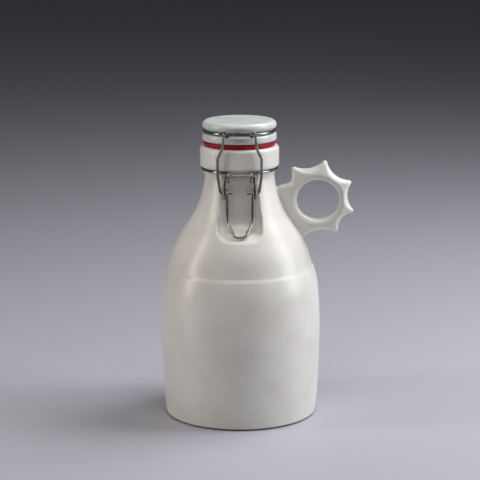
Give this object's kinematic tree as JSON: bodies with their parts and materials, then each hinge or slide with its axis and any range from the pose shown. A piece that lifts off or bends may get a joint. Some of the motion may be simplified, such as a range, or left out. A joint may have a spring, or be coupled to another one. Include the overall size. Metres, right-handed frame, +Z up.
{
  "type": "growler",
  "caption": "Glazed stoneware swing-top jug with a toothed ring handle, a rubber-sealed ceramic lid and a wire bail latch on a hinged lever.",
  "frame": {"origin": "centre of the flat foot, on the surface it stands on", "axes": "+Z up along the jug's axis and out of its mouth; the latch faces -Y, the ring handle is on +X and the lid's hinge is at +Y"},
  "size_m": [0.1672, 0.1384, 0.2577],
  "materials": {
    "body_glaze": "clear gloss glaze over white stoneware",
    "lid_glaze": "cool white gloss glaze",
    "red_rubber": "moulded, satin",
    "stainless_wire": "drawn bright wire"
  },
  "bodies": {
    "jug": {"jug": "body_glaze", "gear_handle": "body_glaze", "neck_wire": "stainless_wire"},
    "lid": {"lid": "lid_glaze", "gasket": "red_rubber", "lid_wire": "stainless_wire"},
    "lever": {"lever": "stainless_wire"},
    "bail": {"bail": "stainless_wire"}
  },
  "joints": [
    {"name": "lid_hinge", "type": "hinge", "parent": "jug", "child": "lid", "pos_m": [0, 0.0375, 0.2158], "axis": [-1, 0, 0], "range_deg": [0, 120]},
    {"name": "lever_pivot", "type": "hinge", "parent": "jug", "child": "lever", "pos_m": [0, -0.033, 0.2137], "axis": [-1, 0, 0], "range_deg": [0, 138]},
    {"name": "bail_pivot", "type": "hinge", "parent": "lever", "child": "bail", "pos_m": [0, -0.0315, 0.1991], "axis": [1, 0, 0], "range_deg": [0, 300]}
  ],
  "couplings": [
    {"joint": "lever_pivot", "follows": "lid_hinge", "ratio": 1.15},
    {"joint": "bail_pivot", "follows": "lid_hinge", "ratio": 2.5}
  ]
}
